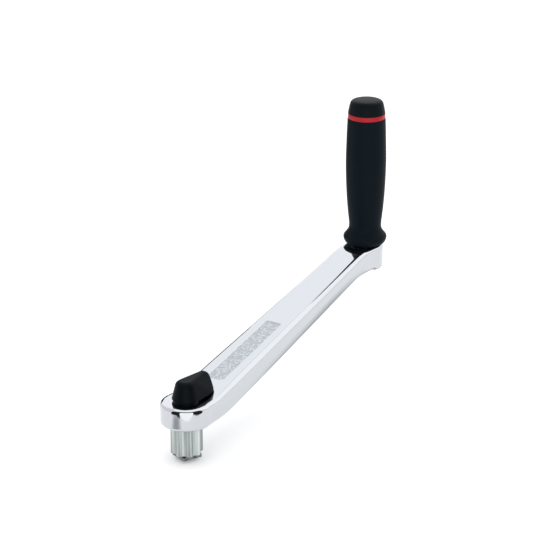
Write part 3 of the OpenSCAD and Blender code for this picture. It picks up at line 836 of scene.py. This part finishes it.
# Flat-sided piece with a round bore right through it and broken outer edges
def bored_prism(name, outline, bore, low, high, bevel, steps=64):
    work = bmesh.new()
    outer = [work.verts.new((x * MM, y * MM, low * MM)) for x, y in outline]
    edges = [work.edges.new((outer[i], outer[i - 1])) for i in range(len(outer))]
    turns = [2 * math.pi * i / steps for i in range(steps)]
    inner = [work.verts.new((bore * MM * math.cos(t), bore * MM * math.sin(t), low * MM)) for t in turns]
    edges += [work.edges.new((inner[i], inner[i - 1])) for i in range(steps)]
    filled = bmesh.ops.triangle_fill(work, edges=edges, use_beauty=True)["geom"]
    flat = [f for f in filled if isinstance(f, bmesh.types.BMFace)]
    grown = bmesh.ops.extrude_face_region(work, geom=flat)["geom"]
    for vert in [v for v in grown if isinstance(v, bmesh.types.BMVert)]:
        vert.co.z = high * MM
    bmesh.ops.recalc_face_normals(work, faces=work.faces)
    outside = bore * MM * 1.02
    hard = [
        e for e in work.edges
        if len(e.link_faces) == 2 and e.calc_face_angle(0) > math.radians(15)
        and all(v.co.xy.length > outside for v in e.verts)
    ]
    bmesh.ops.bevel(
        work, geom=hard, offset=bevel * MM, segments=2, profile=0.5, affect="EDGES", clamp_overlap=True
    )
    mesh = bpy.data.meshes.new(name)
    work.to_mesh(mesh)
    work.free()
    for polygon in mesh.polygons:
        polygon.use_smooth = polygon.normal.z**2 < 0.01 and polygon.center.xy.length < outside
    item = bpy.data.objects.new(name, mesh)
    bpy.context.scene.collection.objects.link(item)
    return item


class CRANK_OT_stud(bpy.types.Operator):
    """Build the eight-point star stud and the square lock plate"""

    bl_idname = "crank.stud"
    bl_label = "Build star stud and lock plate"

    def execute(self, context):
        s = context.scene.crank_stud
        star = bored_prism("star_stud", star_points(s.flats, s.tips), SHAFT_BORE, STAR_LOW, STAR_TOP, s.bevel)
        place(star, "crank", "satin_steel", "drive_stud")
        outline = [(SHAFT_BORE, 0), (SHANK_R, 0), (SHANK_R, SHANK_H), (SHAFT_BORE, SHANK_H), (SHAFT_BORE, 0)]
        shank = turned("stud_shank", outline, 0, 96)
        place(shank, "crank", "satin_steel", "drive_stud")
        # The plate stands half a point off the star's squares
        half = s.plate / 2
        turn = math.radians(67.5)
        corners = [
            (x * math.cos(turn) - y * math.sin(turn), x * math.sin(turn) + y * math.cos(turn))
            for x, y in ((half, -half), (half, half), (-half, half), (-half, -half))
        ]
        plate = bored_prism("lock_square", corners, 4.0, PLATE_LOW, PLATE_TOP, 0.3)
        place(plate, "lock", "satin_steel", "lock_plate", finish="lock_steel")
        return {"FINISHED"}


class CRANK_OT_carried(bpy.types.Operator):
    """Give every CAD piece that is shown as it is its own finish"""

    bl_idname = "crank.carried"
    bl_label = "Finish carried-over pieces"

    def execute(self, context):
        slot_of = {row["node"]: row["material_slot"] for row in frame["record"]["subparts"]}
        for name, item in frame["nodes"].items():
            slot = "black_steel" if name in ("spindle_nut", "spindle_washer") else slot_of[name]
            item.data.materials.clear()
            item.data.materials.append(finish_of(slot))
        return {"FINISHED"}


# Point at a bearing from the view's own direction, in degrees, and at a distance and a height, in metres
def at(turn, distance, height):
    bearing = HEADING + math.radians(turn)
    return (distance * math.cos(bearing), distance * math.sin(bearing), height)


# Flat card of the studio, facing a point. Unless it lights the object it is seen in reflections alone, and a
# soft one fades out over a share of its width.
def card(name, centre, size, towards, strength, colour=(1, 1, 1, 1), lights=False, soft=0.0):
    bpy.ops.mesh.primitive_plane_add(size=1, location=centre)
    item = bpy.context.object
    item.name = name
    item.scale = (size[0], size[1], 1)
    item.rotation_mode = "QUATERNION"
    item.rotation_quaternion = (Vector(towards) - Vector(centre)).to_track_quat("Z", "Y")
    material = bpy.data.materials.new(name)
    material.use_nodes = True
    tree = material.node_tree
    tree.nodes.clear()
    glow = add(tree, "ShaderNodeEmission", {"Color": colour, "Strength": strength}).outputs[0]
    if soft:
        clear = add(tree, "ShaderNodeBsdfTransparent").outputs[0]
        where = add(tree, "ShaderNodeTexCoord").outputs["Generated"]
        apart = add(tree, "ShaderNodeSeparateXYZ", {"Vector": where})
        share = 1.0
        for axis in ("X", "Y"):
            off = add(tree, "ShaderNodeMath", {0: apart.outputs[axis], 1: 0.5}, operation="SUBTRACT")
            off = add(tree, "ShaderNodeMath", {0: off.outputs[0]}, operation="ABSOLUTE")
            fade = add(
                tree, "ShaderNodeMapRange",
                {
                    "Value": off.outputs[0], "From Min": 0.5, "From Max": 0.5 - soft,
                    "To Min": 0.0, "To Max": 1.0,
                },
                interpolation_type="SMOOTHSTEP",
            )
            faded = add(tree, "ShaderNodeMath", {0: fade.outputs[0], 1: share}, operation="MULTIPLY")
            share = faded.outputs[0]
        glow = add(tree, "ShaderNodeMixShader", {0: share, 1: clear, 2: glow}).outputs[0]
    add(tree, "ShaderNodeOutputMaterial", {"Surface": glow})
    item.data.materials.append(material)
    item.visible_camera = False
    item.visible_diffuse = item.visible_shadow = lights
    return item


# Card that lies flat at a height, its length along its bearing
def sheet(name, turn, distance, height, size, strength, soft=0.0):
    centre = at(turn, distance, height)
    item = card(name, centre, size, (centre[0], centre[1], height + 1), strength, soft=soft)
    item.rotation_quaternion = Matrix.Rotation(HEADING + math.radians(turn), 3, "Z").to_quaternion()


class CRANK_OT_studio(bpy.types.Operator):
    """Set the pale floor, the white surround, the softboxes and the camera"""

    bl_idname = "crank.studio"
    bl_label = "Set the studio"

    def execute(self, context):
        s = context.scene.crank_studio
        scene = context.scene
        world = bpy.data.worlds.new("surround")
        scene.world = world
        world.use_nodes = True
        world.node_tree.nodes["Background"].inputs["Color"].default_value = (1, 1, 1, 1)
        world.node_tree.nodes["Background"].inputs["Strength"].default_value = s.surround

        # Table top, 0.2 mm below the lowest piece
        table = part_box("plate_screw")[0].z - 0.0002
        bpy.ops.mesh.primitive_plane_add(size=12, location=(0.1, 0, table))
        floor = bpy.context.object
        floor.name = "floor"
        material = bpy.data.materials.new("floor")
        material.use_nodes = True
        shader = next(n for n in material.node_tree.nodes if n.type == "BSDF_PRINCIPLED")
        feed(material.node_tree, shader, {
            "Base Color": linear("#f7f7f7"), "Roughness": 0.9,
            "Emission Color": (1, 1, 1, 1), "Emission Strength": s.floor_glow,
        })
        floor.data.materials.append(material)

        # Softbox and reflectors, and black flags for the dark lines in the chrome
        head = Vector((0, 0, 0.008))
        black = 0.02
        card("overhead", (0.1, 0, 1.7), (1.7, 1.7), head, s.overhead, (0.955, 0.985, 1.03, 1), lights=True)
        card("back_reflector", at(10, 2.2, 1.4), (2.6, 1.8), head, s.back, (0.975, 0.985, 1.0, 1))
        card("right_reflector", at(-58, 2.0, 1.7), (3.0, 3.2), head, s.right, soft=0.1)
        card("back_flag", at(24, 2.6, 0.3), (1.2, 0.56), head, black)
        card("far_flag", at(15.5, 0.42, 0.072), (0.14, 0.205), head, black)
        card("front_reflector", at(183, 1.0, 0.335), (1.15, 0.75), head, s.front)
        card("front_flag", at(183, 1.15, 1.22), (1.7, 0.62), head, 0.03)
        # Two upright flags close by, whose feet on the table bound the bright patch on the head's front
        tall, middle = 0.17, table + 0.085
        left, inward = Vector(at(136.7, 0.115, middle)), Vector(at(157, 1, 0))
        card("left_flag", left, (0.08, tall), left - inward, black)
        card("right_flag", at(230, 0.112, middle), (0.082, tall), (0, 0, middle), black)
        # Sheets on the table, the second layer above the first
        layer = 0.0003
        sheet("front_sheet", 183, 0.553, table + layer, (0.9, 1.0), s.front)
        # Grey sheet under the arm's near side, seen only in the chrome's reflections: a painted shadow of the arm
        # on the table
        sheet("arm_shadow_sheet", 316, 0.265, table + layer, (0.36, 0.075), 0.55, soft=0.35)
        sheet("left_grey", 142, 0.09, table + 2 * layer, (0.08, 0.08), 0.5, soft=0.4)

        data = bpy.data.cameras.new("camera")
        data.sensor_width = 36
        data.lens = CAMERA_LENS
        data.clip_start, data.clip_end = 0.05, 50
        camera = bpy.data.objects.new("camera", data)
        scene.collection.objects.link(camera)
        flat = math.cos(TILT)
        forward = Vector((math.cos(HEADING) * flat, math.sin(HEADING) * flat, -math.sin(TILT)))
        right = Vector((math.sin(HEADING), -math.cos(HEADING), 0))
        turn = Matrix((right, right.cross(forward), -forward)).transposed()
        camera.matrix_world = Matrix.Translation(CAMERA_AT) @ turn.to_4x4()
        scene.camera = camera
        scene.view_settings.view_transform = "Standard"
        scene.cycles.max_bounces = 8
        return {"FINISHED"}


class CRANK_PT_panel(bpy.types.Panel):
    """Crank handle"""

    bl_label = "Crank handle"
    bl_idname = "CRANK_PT_panel"
    bl_space_type = "VIEW_3D"
    bl_region_type = "UI"
    bl_category = "Crank"

    def draw(self, context):
        for operator in OPERATORS:
            self.layout.operator(operator.bl_idname)
        for _, name in SETTINGS:
            group = getattr(context.scene, name)
            for key in group.bl_rna.properties.keys():
                if key not in ("rna_type", "name"):
                    self.layout.prop(group, key)


SETTINGS = [
    (ArmSettings, "crank_arm"), (GripSettings, "crank_grip"), (KnobSettings, "crank_knob"),
    (StudSettings, "crank_stud"), (FinishSettings, "crank_finish"), (StudioSettings, "crank_studio"),
]
OPERATORS = [CRANK_OT_carried, CRANK_OT_arm, CRANK_OT_grip, CRANK_OT_knob, CRANK_OT_stud, CRANK_OT_studio]


def register():
    for kind, name in SETTINGS:
        bpy.utils.register_class(kind)
        setattr(bpy.types.Scene, name, PointerProperty(type=kind))
    for kind in OPERATORS + [CRANK_PT_panel]:
        bpy.utils.register_class(kind)


def unregister():
    for kind in [CRANK_PT_panel] + OPERATORS[::-1]:
        bpy.utils.unregister_class(kind)
    for kind, name in SETTINGS:
        delattr(bpy.types.Scene, name)
        bpy.utils.unregister_class(kind)


def main():
    register()
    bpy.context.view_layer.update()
    bpy.ops.crank.carried()
    bpy.ops.crank.arm()
    bpy.ops.crank.grip()
    bpy.ops.crank.knob()
    bpy.ops.crank.stud()
    bpy.ops.crank.studio()
    bpy.context.view_layer.update()


if __name__ == "__main__":
    main()
